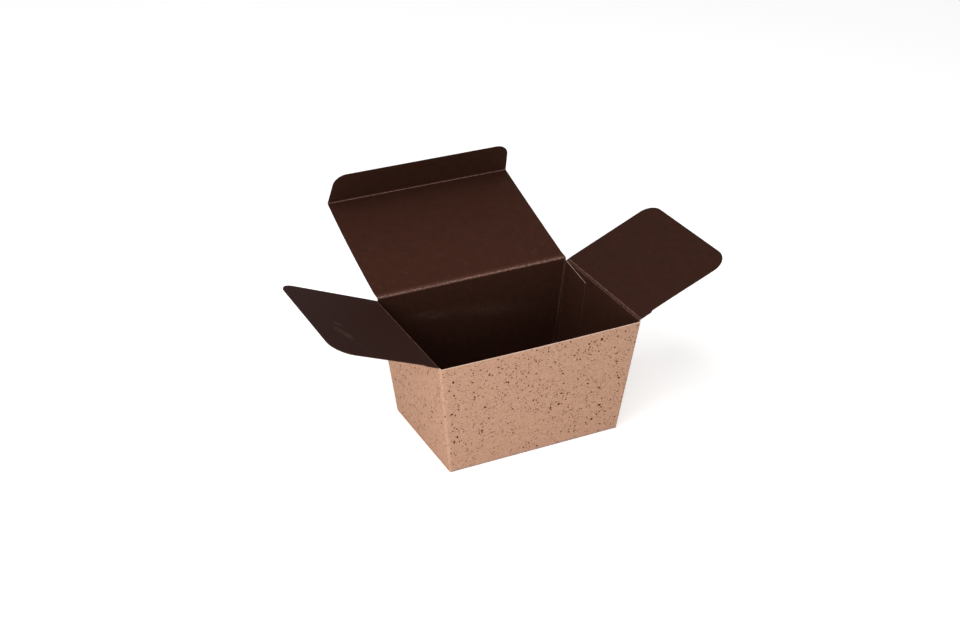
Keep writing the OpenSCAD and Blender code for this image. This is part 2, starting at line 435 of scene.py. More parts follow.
def card_piece(name, grid, settings, marks, **edges):
    """A sheet of card as an object. Its UV map gives the place on the sheet in millimetres, and
    each of its marks, given as values for the inside and for the outside, becomes an attribute:
    wear is how worn a point is, inked how much painted shade darkens a cut edge, thin how much
    painted light lightens the lid's print, grey how much painted shade and reflection grey the left
    flap's print, and shade how much painted shade darkens the foot of the card."""
    corners, faces, kinds, ring = card_mesh(
        grid, settings.card.thickness, settings.card.cut_bulge, **edges)
    mesh = bpy.data.meshes.new(name)
    mesh.from_pydata(corners.tolist(), [], faces.tolist())
    for material in card_materials(settings):
        mesh.materials.append(material)
    mesh.polygons.foreach_set("material_index", kinds.astype(np.int32))
    mesh.polygons.foreach_set("use_smooth", np.ones(len(faces), bool))
    mesh.set_sharp_from_angle(angle=radians(35))

    spot = grid.sheet.reshape(-1, 2) / MM
    spot = np.concatenate([spot, spot, spot[ring], spot[ring]]).astype(np.float32)
    mesh.uv_layers.new(name="sheet").uv.foreach_set("vector", spot[faces.reshape(-1)].reshape(-1))
    # Painted shade on every cut edge unless a mark says otherwise
    cut_ink = settings.wear.cut_ink
    for label, values in {"inked": (cut_ink, cut_ink), **marks}.items():
        inner, outer = (np.broadcast_to(value, grid.sigma.shape).reshape(-1) for value in values)
        values = np.concatenate([inner, outer, inner[ring], outer[ring]]).astype(np.float32)
        mesh.attributes.new(label, "FLOAT", "POINT").data.foreach_set("value", values)
    mesh.update()
    piece = bpy.data.objects.new(name, mesh)
    bpy.context.scene.collection.objects.link(piece)
    return piece


# Lines that folding has rubbed into the print along each crease: place in millimetres from the
# fold towards the panel, strength, and reach towards the wall and towards the panel
CREASE_LINES = {
    "left": ((0.5, 0.6, 0.15, 0.2),),
    "right": ((-0.56, 0.3, 0.12, 0.12), (0.0, 0.1, 0.6, 0.6), (0.6, 0.5, 0.12, 0.16)),
    "lid": ((0.3, 0.62, 0.5, 0.5), (1.3, 0.12, 0.5, 0.8)),
    "tuck": ((0.1, 0.95, 0.4, 0.45),),
}


def crease_wear(sigma, fold):
    """How worn the print is near a crease: a bell curve across each of its lines, with its own
    reach on each side of the line."""
    total = 0
    for middle, strength, before, after in CREASE_LINES[fold]:
        away = sigma / MM - middle
        total = total + strength * bell(away, np.where(away < 0, before, after))
    return total


# Scuffs on the left flap, from the middle of its fold, and lighter streaked bands across the rear
# wall's inside, from the middle of its foot: middle, half length and half width in millimetres,
# turn in degrees, and strength
FLAP_SCUFFS = ((-11.9, 37.1, 4.8, 1.1, 21.0, 0.2), (-20.3, 34.5, 3.5, 0.5, 10.0, 0.12),
               (-2.0, 36.6, 1.6, 0.6, 50.0, 0.13))
REAR_WALL_BANDS = ((-28.0, 45.0, 9.0, 1.4, -10.0, 0.09), (2.0, 41.5, 17.0, 2.6, -10.0, 0.06))


def streak_marks(grid, origin, scuffs):
    """How much the print lightens under the given scuffs and bands: for each the product of a bell
    curve along it and one across it."""
    total = 0
    for middle_x, middle_y, half_length, half_width, turn, strength in scuffs:
        x, y = np.moveaxis((grid.sheet - origin) / MM - (middle_x, middle_y), -1, 0)
        c, s = cos(radians(turn)), sin(radians(turn))
        along, across = (c * x + s * y) / half_length, (c * y - s * x) / half_width
        total = total + strength * bell(along, 1) * bell(across, 1)
    return total


# Walls


# Corners passed, less a rounding error, where the glued flap starts
SEAM_START = 3.999


def knot(centre, radius, turn, wall, foot, top):
    """One knot of the walls' outline: the line passes at a radius from a centre, in the
    direction given by a turn from +X. wall counts the corners passed, and foot and top are a
    height each, with 1 where that edge is cut and 0 where it meets another sheet."""
    return [*centre, radius, turn, wall, *foot, *top]


def wall_knots(box, settings, height):
    """Knots of the walls' outline at a height, from the right wall's cut edge at the rear round
    the front, left and rear walls to the free edge of the glued flap, and the steps between."""
    card, sizes, sheet = settings.card, settings.box, box.card
    x, y = half_sizes(box, height) - sheet / 2
    inner_x = x - sheet - card.glue
    width = np.interp(height, [0, box.height], [sizes.seam_foot_width, sizes.seam_width])
    front, rear = card.front_fold - sheet / 2, card.rear_fold - sheet / 2
    seam = np.interp(height, [0, box.height], [sizes.seam_foot_fold, sizes.seam_fold]) - sheet / 2
    # The walls bend into the bottom's three layers, and the glued flap ends above them all
    front_foot, rear_foot, side_foot = (
        ((layer + 0.5) * sheet + card.foot_reach * up[2], 0)
        for layer, up in enumerate((box.front_up, box.rear_up, box.left_up)))
    low_foot, high_foot = (sizes.corner_front, 1), (sizes.corner_side, 1)
    seam_foot = (3.5 * sheet, 1)
    rim, front_rim = (box.height, 1), (box.height - sizes.rim_drop, 1)
    side_top = (box.height - card.crease_room * box.left_up[2], 0)
    rear_top = (box.lid_height - card.crease_room * box.rear_up[2], 0)
    rear_corner = (rear_top[0], 1)
    seam_top = (box.height - sizes.seam_top, 1)
    seam_end = (seam_top[0] - sizes.seam_slope, 1)

    fold_end = np.array([x, y - rear])
    knots = [
        knot((x, y + sheet / 2 - sizes.seam_setback), 0, 0, 0, side_foot, rim),
        knot(fold_end, 0, 0, 0, side_foot, rim),
        knot(fold_end - card.step * Y[:2], 0, 0, 0, side_foot, side_top)]
    steps = [2, 1]
    corners = [
        ((x - front, front - y), front, high_foot, low_foot, rim, front_rim),
        ((front - x, front - y), front, low_foot, high_foot, front_rim, rim),
        ((rear - x, y - rear), rear, high_foot, high_foot, rim, rear_corner),
        ((inner_x - seam, y - seam), seam, high_foot, seam_foot, rear_corner, seam_top)]
    walls = [(side_foot, side_top), (front_foot, front_rim), (side_foot, side_top),
             (rear_foot, rear_top), (seam_foot, seam_top)]
    ways = [-Y[:2], -X[:2], Y[:2], X[:2], -Y[:2]]
    for number, (centre, radius, foot_in, foot_out, top_in, top_out) in enumerate(corners):
        turn, passed = -number * pi / 2, number + 1
        before, after = centre - ways[number] * card.step, centre + ways[passed] * card.step
        knots += [
            knot(before, radius, turn, passed, *walls[number]),
            knot(centre, radius, turn, passed, foot_in, top_in),
            knot(centre, radius, turn - pi / 2, passed, foot_out, top_out),
            knot(after, radius, turn - pi / 2, passed, *walls[passed])]
        steps += [WALL_STEPS, 1, ROUND_STEPS, 1]
    knots.append(knot((inner_x - seam, y - width), seam, -2 * pi, 4, seam_foot, seam_end))
    return np.array(knots), [*steps, SEAM_STEPS]


def wall_outline(box, settings, height):
    """Stations round the walls: every value of the knots runs from knot to knot, evenly round an
    upright fold, and crowded at both ends along a wall."""
    knots, steps = wall_knots(box, settings, height)
    ways = [eased(count) if count > ROUND_STEPS else np.linspace(0, 1, count + 1)
            for count in steps]
    spans = [a + way[:-1, None] * (b - a) for a, b, way in zip(knots, knots[1:], ways)]
    return np.concatenate([*spans, knots[-1:]]).T


def wall_grid(box, settings):
    """Middle surface of the walls. At each station the line lies at the radius from the centre,
    and up the wall each point moves straight from the bottom outline to the rim. The flat walls
    bow outwards by the sine of the way along times the sine of the way up, and the front wall
    also by the sine of the way along times the square of the way up."""
    ends = []
    for level in (0.0, box.height):
        x, y, radius, turn, wall, foot, foot_cut, top, top_cut = wall_outline(
            box, settings, level)
        out = np.stack([np.cos(turn), np.sin(turn)], 1)
        ends.append(np.stack([x, y], 1) + radius[:, None] * out)
    slope = (ends[1] - ends[0]) / box.height
    way_up = eased(WALL_ROWS)[:, None]
    height = foot + way_up * (top - foot)
    flat = ends[0] + height[:, :, None] * slope
    inward = unit(np.concatenate([-out, (out * slope).sum(1, keepdims=True)], 1))
    inward = np.broadcast_to(inward, (*height.shape, 3))
    way_along = np.abs(np.sin(pi * wall))
    bow = way_along * (settings.card.wall_bow * np.sin(pi * way_up)
                       + settings.card.rim_bow * (np.floor(wall) == 1) * way_up**2)
    steps = np.linalg.norm(np.diff(flat, axis=1), axis=2)
    girth = np.concatenate([np.zeros((WALL_ROWS + 1, 1)), np.cumsum(steps, 1)], 1)
    corners = [int(np.flatnonzero(np.isclose(wall, passed)).mean()) for passed in (1, 2, 3)]
    drift = settings.box.score_drift * (1 - height / box.height)
    from_score = np.abs(girth - girth[:, [np.argmax(wall > SEAM_START)]] + drift)
    return SimpleNamespace(
        points=np.concatenate([flat, height[:, :, None]], -1) - bow[:, :, None] * inward,
        inward=inward, sheet=np.stack([girth - girth[:, corners[1], None], height], -1),
        from_corner=np.abs(girth[:, :, None] - girth[:, None, corners]).min(-1),
        from_score=from_score,
        wall=wall, sigma=height, first_cut=np.maximum(foot_cut[1:], foot_cut[:-1]) > 0.5,
        last_cut=np.maximum(top_cut[1:], top_cut[:-1]) > 0.5)


def wall_marks(box, settings, grid):
    """Marks of the walls. Inside they are worn at the creases and in a line along each upright
    fold, and lighter in streaked bands across the rear wall. Outside they are worn at the front
    rim, and worn and painted lighter as a highlight along the upright folds. Their feet carry
    painted shade, and painted shade darkens the glued flap's top and free edge."""
    worn = settings.wear
    below_side = (grid.sigma - box.height) / box.left_up[2]
    below_lid = (grid.sigma - box.lid_height) / box.rear_up[2]
    creases = np.select(
        [grid.wall < 1, grid.wall < 2, grid.wall < 3, grid.wall < 4],
        [crease_wear(below_side, "right"), 0, crease_wear(below_side, "left"),
         crease_wear(below_lid, "lid")])
    from_line = np.minimum(grid.from_corner, grid.from_score)
    rear_middle = sheet_places(box, settings.card)["lid"][0]
    inside = (creases + worn.line * bell(from_line, worn.line_reach)
              + streak_marks(grid, (rear_middle, 0), REAR_WALL_BANDS))
    in_front = np.floor(grid.wall) == 1
    from_rim = box.height - settings.box.rim_drop - grid.sigma
    # Along the upright folds this is wear and painted highlight
    outside = (worn.fold * bell(grid.from_corner, worn.fold_reach)
               + worn.rim * in_front * bell(from_rim, worn.rim_reach))
    # Painted shade along the feet of the walls
    soil = np.where(in_front, worn.front_soil, worn.side_soil) * bell(
        grid.sigma - grid.sigma.min(), worn.soil_reach)
    # Painted shade on the glued flap's top and free edge
    inked = np.zeros(grid.sigma.shape)
    inked[:, grid.wall > SEAM_START] = worn.seam_top_ink
    inked[:-1, -1] = worn.seam_ink
    return {"wear": (inside, outside), "inked": (inked, inked), "soil": (0, soil)}


def make_walls(context):
    """The four walls and the glued flap, as one strip of card."""
    settings = context.scene.praline_box
    box = measure_box(settings)
    grid = wall_grid(box, settings)
    walls = card_piece("box_walls", grid, settings, wall_marks(box, settings, grid),
                       first_cut=grid.first_cut, last_cut=grid.last_cut)
    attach(walls, "box")
    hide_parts("box_body")


# Bottom


def bottom_panel(name, box, settings, up, along, layer, depth, cut=0.0):
    """A bottom panel: it bends in from its wall's foot over the foot fold's reach, and goes on
    flat, widening behind the fold. layer counts the sheets below it, and cut is the size of its
    cut corners."""
    card, reach = settings.card, settings.card.foot_reach
    inwards = np.cross(Z, along)
    level = (layer + 0.5) * box.card
    sizes = np.append(half_sizes(box, level), 0)
    axis = level * Z - inwards * (abs(sizes @ inwards) - box.card / 2)
    sigma = np.concatenate([
        np.linspace(-reach, 2 * reach, FOOT_ROWS + 1),
        2 * reach + eased(BOTTOM_ROWS)[1:] * (depth - cut - 2 * reach),
        *([[depth]] if cut else [])])
    fold_side = abs(sizes @ along) - card.front_fold - card.step
    wider = card.front_fold + card.step - settings.box.panel_inset
    side = fold_side + wider * smooth(sigma / reach - 1) - np.maximum(sigma - depth + cut, 0)
    grid = folded_sheet(axis, along, -up, inwards, reach, sigma, -side, side, BOTTOM_COLUMNS,
                        (0, -depth))
    # Painted shade on the outer panel's front fold
    soil = settings.wear.front_soil * (layer == 0) * bell(grid.sigma, settings.wear.bottom_reach)
    panel = card_piece(name, grid, settings, {"inked": (0, 0), "soil": (0, soil)})
    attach(panel, "box")


def make_bottom(context):
    """The bottom: an outer panel from the front wall over one from the rear wall, and a short
    flap from each side wall on top of them inside."""
    settings = context.scene.praline_box
    box, sizes = measure_box(settings), settings.box
    depth = 2 * half_sizes(box, 0)[1] - box.card
    bottom_panel("bottom_outer_panel", box, settings, box.front_up, X, 0,
                 depth - sizes.panel_inset)
    bottom_panel("bottom_inner_panel", box, settings, box.rear_up, -X, 1,
                 depth - 2 * sizes.panel_inset)
    for end, up, along in (("left", box.left_up, -Y), ("right", box.right_up, Y)):
        bottom_panel("bottom_dust_flap_" + end, box, settings, up, along, 2, sizes.dust_depth,
                     sizes.dust_cut)


# Side flaps, lid and tuck flap


def corner_rows(depth, radius, steps=9):
    """Distances from a fold at which a round corner turns by even angles up to the free edge."""
    return depth - radius + radius * np.sin(np.linspace(0, pi / 2, steps + 1))


def corner_cut(sigma, depth, radius, taper=0.0):
    """How far a panel's side comes in at each distance from its fold: a straight side that leans
    in by the taper, and a circle that touches that side and the free edge."""
    touch = depth - radius * (1 - sin(taper))
    centre = touch * tan(taper) + radius * cos(taper)
    rise = np.clip((sigma - (depth - radius)) / radius, -1, 1)
    return np.where(sigma > touch, centre - radius * np.sqrt(1 - rise**2), sigma * tan(taper))


def flap_edges(box, settings, sigma):
    """Front and rear edge of a side flap at each distance from its fold, from the middle of the
    wall. Both start where the upright folds end. The front edge has a shoulder, eases in by the
    step behind it and comes out again to its corner. The rear edge spreads behind the crease."""
    card, sizes, depth = settings.card, settings.flaps, box.flap_depth
    height = box.height + np.minimum(sigma, 0)[:, None] * box.left_up[2]
    edge = half_sizes(box, height)[:, 1] - card.step
    behind = sizes.shoulder + sizes.step_length
    step = sizes.step * smooth((sigma - sizes.shoulder) / sizes.step_length)
    flare = sizes.front_flare * smooth((sigma - behind) / (depth - behind))
    spread = sizes.rear_spread * smooth((sigma - card.crease_room) / sizes.spread_length)
    panel = np.maximum(sigma, 0)
    front = edge - card.front_fold - step + flare - corner_cut(panel, depth, sizes.front_radius)
    rear = edge - card.rear_fold + spread - corner_cut(panel, depth, sizes.rear_radius)
    return front, rear


def left_flap_ends(box, settings, sigma):
    """The two ends of the left flap, measured along its fold to the rear."""
    front, rear = flap_edges(box, settings, sigma)
    return -front, rear


def right_flap_ends(box, settings, sigma):
    """The two ends of the right flap, measured along its fold to the front."""
    front, rear = flap_edges(box, settings, sigma)
    return -rear, front


def lid_ends(box, settings, sigma):
    """The two ends of the lid, measured along its rear fold to the right. At the fold they lie
    where the rear wall's upright folds start. Just behind the crease the lid eases over to the
    left, and its sides then come in or go out by the square of the way to the tuck fold."""
    card, sizes = settings.card, settings.lid
    height = box.lid_height + np.minimum(sigma, 0)[:, None] * box.rear_up[2]
    shift = sizes.rear_shift * smooth((sigma - card.crease_room) / sizes.shift_length)
    left = half_sizes(box, height)[:, 0] - card.rear_fold - card.step + shift
    right = left - box.card - card.glue - 2 * shift
    way = np.clip(sigma / box.lid_depth, 0, 1) ** 2
    return (sizes.left_half - left) * -way - left, (sizes.right_half - right) * way + right


def tuck_ends(box, settings, sigma):
    """The two ends of the tuck flap, measured along its fold to the right. They go on from the
    ends of the lid."""
    sizes, panel, depth = settings.lid, np.maximum(sigma, 0), box.tuck_depth
    left, right = lid_ends(box, settings, box.lid_depth + np.minimum(sigma, 0))
    return (left + corner_cut(panel, depth, sizes.left_radius, sizes.left_taper),
            right - corner_cut(panel, depth, sizes.right_radius, sizes.right_taper))


def fold_table(box):
    """Each moving fold: its joint's axis, the direction along it, the card's direction before
    and after it, the two ends of its panel, and the two bodies that it joins."""
    return {
        "left": (box.axes["left_flap_fold"], Y, box.left_up, box.left, left_flap_ends,
                 ("box", "left_flap")),
        "right": (box.axes["right_flap_fold"], -Y, box.right_up, box.right, right_flap_ends,
                  ("box", "right_flap")),
        "lid": (box.axes["lid_fold"], X, box.rear_up, box.lid, lid_ends, ("box", "lid")),
        "tuck": (box.axes["tuck_fold"], X, box.lid, box.tuck, tuck_ends, ("lid", "tuck"))}


def fold_grid(box, settings, fold, sigma, columns):
    """Middle surface of the card at the given distances from a moving fold."""
    axis, along, before, after, ends, _ = fold_table(box)[fold]
    return folded_sheet(axis, along, before, after, settings.card.crease_reach, sigma,
                        *ends(box, settings, sigma), columns,
                        sheet_places(box, settings.card)[fold])


def moving_panel(name, node, settings, grid, marks, **edges):
    """A panel beyond a moving fold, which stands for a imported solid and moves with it."""
    panel = card_piece(name, grid, settings, marks, **edges)
    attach(panel, frame["nodes"][node]["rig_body"])
    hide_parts(node)


def make_side_flaps(context):
    """The two side flaps, from their creases to their free edges."""
    settings = context.scene.praline_box
    box, room, sizes = measure_box(settings), settings.card.crease_room, settings.flaps
    behind, depth = sizes.shoulder + sizes.step_length, box.flap_depth
    sigma = np.unique(np.concatenate([
        room + eased(SHOULDER_ROWS)[:-1] * (sizes.shoulder - room),
        np.linspace(sizes.shoulder, behind, STEP_ROWS + 1),
        np.linspace(behind, depth - sizes.front_radius, STRAIGHT_ROWS + 1),
        corner_rows(depth, sizes.front_radius), corner_rows(depth, sizes.rear_radius)]).round(9))
    for end in ("left", "right"):
        grid = fold_grid(box, settings, end, sigma, FLAP_COLUMNS)
        wear, grey = crease_wear(grid.sigma, end), 0
        if end == "left":
            origin = sheet_places(box, settings.card)[end]
            wear = wear + streak_marks(grid, origin, FLAP_SCUFFS)
            # Painted shade and reflection on the left flap's inside
            grey = left_flap_shade_and_reflection(box, grid.sigma)
        moving_panel(end + "_flap_card", end + "_flap", settings, grid,
                     {"wear": (wear, 0), "grey": (grey, 0)})


def left_flap_shade_and_reflection(box, sigma):
    """How much painted shade and reflection grey the left flap's print at each distance from its
    fold: it eases in across the crease, and grows evenly on to the free edge."""
    return smooth(sigma / MM) * (0.6 + 0.4 * sigma / box.flap_depth)


def lid_light_share(box, sigma):
    """How much painted light lightens the lid's inside at each distance from its fold: it grows
    across the crease and fades again by the square of the way to the tuck fold."""
    return smooth(sigma / MM) * (1 - np.clip(sigma / box.lid_depth, 0, 1) ** 2)


def make_lid(context):
    """The lid, between its two creases, and the tuck flap beyond the second."""
    settings = context.scene.praline_box
    box, room, sizes = measure_box(settings), settings.card.crease_room, settings.lid
    sigma = room + eased(LID_ROWS) * (box.lid_depth - 2 * room)
    grid = fold_grid(box, settings, "lid", sigma, LID_COLUMNS)
    wear = crease_wear(grid.sigma, "lid") + crease_wear(grid.sigma - box.lid_depth, "tuck")
    # The lid's inside takes painted light from its lighter-cocoa mark
    moving_panel("lid_card", "lid_panel", settings, grid,
                 {"wear": (wear, 0), "thin": (lid_light_share(box, grid.sigma), 0)}, last_cut=False)
    depth = box.tuck_depth
    sigma = np.unique(np.concatenate([
        room + eased(TUCK_ROWS) * (depth - sizes.right_radius - room),
        corner_rows(depth, sizes.left_radius), corner_rows(depth, sizes.right_radius)]).round(9))
    grid = fold_grid(box, settings, "tuck", sigma, LID_COLUMNS)
    moving_panel("tuck_card", "tuck_flap", settings, grid,
                 {"wear": (crease_wear(grid.sigma, "tuck"), 0)})


def make_creases(context):
    """The strips of card on both sides of the four moving folds. Inside each carries two beads,
    each a bell curve in height."""
    settings = context.scene.praline_box
    box, card = measure_box(settings), settings.card
    sigma = np.linspace(-card.crease_room, card.crease_room, CREASE_ROWS + 1)
    for fold, (axis, _, before, after, _, bodies) in fold_table(box).items():
        grid = fold_grid(box, settings, fold, sigma, CREASE_COLUMNS)
        beads = card.bead_height * sum(
            bell(grid.sigma - side * card.bead_offset, card.bead_width) for side in (-1, 1))
        stretched = settings.wear.stretched * bell(grid.sigma, card.crease_reach)
        # Painted light on the lid's crease, as on the lid
        thin = lid_light_share(box, grid.sigma) * (fold == "lid")
        # Painted shade and reflection on the left flap's crease
        grey = left_flap_shade_and_reflection(box, grid.sigma) * (fold == "left")
        strip = card_piece(
            fold + "_crease", grid, settings,
            {"wear": (crease_wear(grid.sigma, fold), stretched), "thin": (thin, 0),
             "grey": (grey, 0)}, bead=beads, last_cut=False)
        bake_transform(strip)


# Shader nodes


def place(tree, kind, sockets=None, **values):
    """A node in a tree, with its settings, and its input sockets set or linked."""
    node = tree.nodes.new(kind)
    for name, value in values.items():
        setattr(node, name, value)
    for key, value in (sockets or {}).items():
        if isinstance(value, bpy.types.NodeSocket):
            tree.links.new(value, node.inputs[key])
        else:
            node.inputs[key].default_value = value
    return node


def calc(tree, operation, *values):
    """A Math node's result."""
    return place(tree, "ShaderNodeMath", dict(enumerate(values)), operation=operation).outputs[0]


def product(tree, first, *others):
    """Values multiplied together, one after another."""
    for value in others:
        first = calc(tree, "MULTIPLY", first, value)
    return first


def vector_calc(tree, operation, *values):
    """A Vector Math node's vector."""
    node = place(tree, "ShaderNodeVectorMath", dict(enumerate(values)), operation=operation)
    return node.outputs["Vector"]


def ramp(tree, value, low, high):
    """Eases from 0 where a value is at low to 1 where it is at high."""
    return place(tree, "ShaderNodeMapRange", {"Value": value, "From Min": low, "From Max": high},
                 interpolation_type="SMOOTHSTEP").outputs["Result"]


def held(tree, value):
    """A value held between 0 and 1."""
    return place(tree, "ShaderNodeClamp", {"Value": value}).outputs["Result"]


def noise(tree, vector, scale, detail=2.0, roughness=0.5):
    """A two-dimensional Noise Texture node, with its scale in repeats for each millimetre."""
    return place(tree, "ShaderNodeTexNoise",
                 {"Vector": vector, "Scale": scale, "Detail": detail, "Roughness": roughness},
                 noise_dimensions="2D")


def mixed(tree, share_of_b, a, b):
    """A colour mixed from two."""
    return place(tree, "ShaderNodeMix", {0: share_of_b, 6: a, 7: b}, data_type="RGBA").outputs[2]


def group(name, inputs, outputs, build):
    """A shader node group, built once: build is given the tree and its input sockets by name,
    and returns the value of each output."""
    made = bpy.data.node_groups.get(name)
    if made:
        return made
    made = bpy.data.node_groups.new(name, "ShaderNodeTree")
    for label, default in inputs.items():
        kind = "NodeSocketVector" if isinstance(default, tuple) else "NodeSocketFloat"
        socket = made.interface.new_socket(name=label, in_out="INPUT", socket_type=kind)
        socket.default_value = default
    for label in outputs:
        made.interface.new_socket(name=label, in_out="OUTPUT", socket_type="NodeSocketFloat")
    source = made.nodes.new("NodeGroupInput")
    target = made.nodes.new("NodeGroupOutput")
    values = build(made, {label: source.outputs[label] for label in inputs})
    for label, value in zip(outputs, values):
        made.links.new(value, target.inputs[label])
    return made


def use(tree, made, **sockets):
    """A node group placed in a tree, with its inputs set or linked."""
    return place(tree, "ShaderNodeGroup", sockets, node_tree=made)


def flecks(tree, ins):
    """Flecks pressed into the card: in some of the cells round scattered points, a spot that is
    turned at random, stretched, and of a random radius. It is full up to a share of its radius,
    and fades out from there."""
    full_share = 0.82
    cells = place(tree, "ShaderNodeTexVoronoi",
                  {"Vector": ins["Vector"], "Scale": ins["Scale"], "Randomness": 1.0},
                  voronoi_dimensions="2D")
    chance = place(tree, "ShaderNodeSeparateColor", {"Color": cells.outputs["Color"]}).outputs
    away = vector_calc(tree, "SUBTRACT", ins["Vector"], cells.outputs["Position"])
    turned = place(tree, "ShaderNodeVectorRotate",
                   {"Vector": away, "Angle": calc(tree, "MULTIPLY", chance["Red"], pi)},
                   rotation_type="Z_AXIS")
    stretch = place(tree, "ShaderNodeCombineXYZ", {0: ins["Stretch"], 1: 1.0})
    narrow = vector_calc(tree, "MULTIPLY", turned.outputs[0], stretch.outputs[0])
    far = place(tree, "ShaderNodeVectorMath", {0: narrow}, operation="LENGTH").outputs["Value"]
    spread = calc(tree, "SUBTRACT", ins["Largest"], ins["Smallest"])
    radius = calc(tree, "MULTIPLY_ADD", calc(tree, "POWER", chance["Green"], 2.0), spread,
                  ins["Smallest"])
    spot = ramp(tree, far, radius, calc(tree, "MULTIPLY", radius, full_share))
    there = calc(tree, "LESS_THAN", chance["Blue"], ins["Share"])
    return [calc(tree, "MULTIPLY", spot, there)]


def clouds(tree, ins):
    """Soft uneven tone about zero: coarse clouds and grain nine times finer, added together."""
    coarse = noise(tree, ins["Vector"], ins["Scale"], detail=3.0, roughness=0.6).outputs[0]
    finer = calc(tree, "MULTIPLY", ins["Scale"], 9.0)
    grain = noise(tree, ins["Vector"], finer, roughness=0.6).outputs[0]
    return [calc(tree, "SUBTRACT", calc(tree, "ADD", coarse, grain), 1.0)]


def winding(tree, ins):
    """Winding lines: where a noise lies within a width of its middle value."""
    lines = noise(tree, ins["Vector"], ins["Scale"], detail=1.0).outputs[0]
    away = calc(tree, "ABSOLUTE", calc(tree, "SUBTRACT", lines, 0.5))
    return [ramp(tree, away, ins["Width"], 0.0)]


def worn_print(tree, ins):
    """Print worn off along a crease: the wear, made uneven by streaks twice as long as they are
    wide and by grain."""
    stretched = vector_calc(tree, "MULTIPLY", ins["Vector"], (0.5, 1.0, 1.0))
    streaks = noise(tree, stretched, 1.2, detail=3.0, roughness=0.7).outputs[0]
    grain = noise(tree, ins["Vector"], 1.1, detail=3.0, roughness=0.7).outputs[0]
    uneven = calc(tree, "SUBTRACT", calc(tree, "ADD", streaks, grain), 1.0)
    factor = calc(tree, "MULTIPLY_ADD", uneven, ins["Breaks"], 1.0)
    return [held(tree, calc(tree, "MULTIPLY", ins["Wear"], factor))]


# Materials


def sheet_place(tree):
    """Place on the sheet of card, in millimetres."""
    return place(tree, "ShaderNodeUVMap", uv_map="sheet").outputs["UV"]


def value_of(tree, name):
    """The value that a piece's attribute has at a point, from 0 to 1."""
    return place(tree, "ShaderNodeAttribute", attribute_name=name).outputs["Fac"]


def cloud_group():
    """The group that gives soft uneven tone."""
    return group("card clouds", {"Vector": (0.0, 0.0, 0.0), "Scale": 0.1}, ["Tone"], clouds)


def winding_group():
    """The group that gives winding lines."""
    return group("winding lines", {"Vector": (0.0, 0.0, 0.0), "Scale": 0.3, "Width": 0.05},
                 ["Mask"], winding)


def new_material(name):
    """An empty material and its node tree, with a Principled shader joined to the output."""
    material = bpy.data.materials.new(name)
    material.use_nodes = True
    tree = material.node_tree
    tree.nodes.clear()
    shader = tree.nodes.new("ShaderNodeBsdfPrincipled")
    output = tree.nodes.new("ShaderNodeOutputMaterial")
    tree.links.new(shader.outputs[0], output.inputs["Surface"])
    return material, tree, shader


def finish_shader(tree, shader, base, height, roughness, level, depth):
    """Sets a Principled shader's colour, roughness and specular level, and a relief from a
    height map, with its depth in metres."""
    bump = place(tree, "ShaderNodeBump", {"Height": height, "Distance": depth})
    tree.links.new(bump.outputs["Normal"], shader.inputs["Normal"])
    tree.links.new(base, shader.inputs["Base Color"])
    shader.inputs["Roughness"].default_value = roughness
    shader.inputs["Specular IOR Level"].default_value = level


def four(values):
    """A colour property as four numbers."""
    return (*values, 1.0)


# Flecks of four sizes: cells for each millimetre, smallest and largest radius in millimetres,
# width as a share of their length, and share of the cells that hold one
FLECK_SIZES = (
    (0.30, 0.28, 0.65, 0.70, 0.42),
    (0.55, 0.17, 0.40, 0.60, 0.52),
    (1.10, 0.10, 0.23, 0.65, 0.46),
    (2.20, 0.05, 0.10, 0.70, 0.38),
)


def fleck_mask(tree, sheet, bent, wear):
    """Where flecks of all four sizes lie. They gather in clusters and along winding lines, with
    fewer off the lines, and grow sparse where the card is worn."""
    outside_clusters, off_lines, on_lines, lost_where_worn = 0.5, 0.3, 0.9, 0.8
    made = group(
        "card flecks", {"Vector": (0.0, 0.0, 0.0), "Scale": 1.0, "Stretch": 1.0,
                        "Smallest": 0.05, "Largest": 0.2, "Share": 0.5}, ["Mask"], flecks)
    clusters = ramp(tree, noise(tree, sheet, 0.15).outputs[0], 0.3, 0.7)
    lines = use(tree, winding_group(), Vector=sheet, Scale=0.3, Width=0.06).outputs["Mask"]
    crowd = product(tree, calc(tree, "ADD", clusters, outside_clusters),
                    calc(tree, "MULTIPLY_ADD", lines, on_lines, off_lines),
                    calc(tree, "MULTIPLY_ADD", wear, -lost_where_worn, 1.0))
    mask = 0.0
    for scale, smallest, largest, width, filled in FLECK_SIZES:
        size = use(tree, made, Vector=bent, Scale=scale, Smallest=smallest, Largest=largest,
                   Stretch=width, Share=calc(tree, "MULTIPLY", crowd, filled))
        mask = calc(tree, "MAXIMUM", mask, size.outputs["Mask"])
    return mask


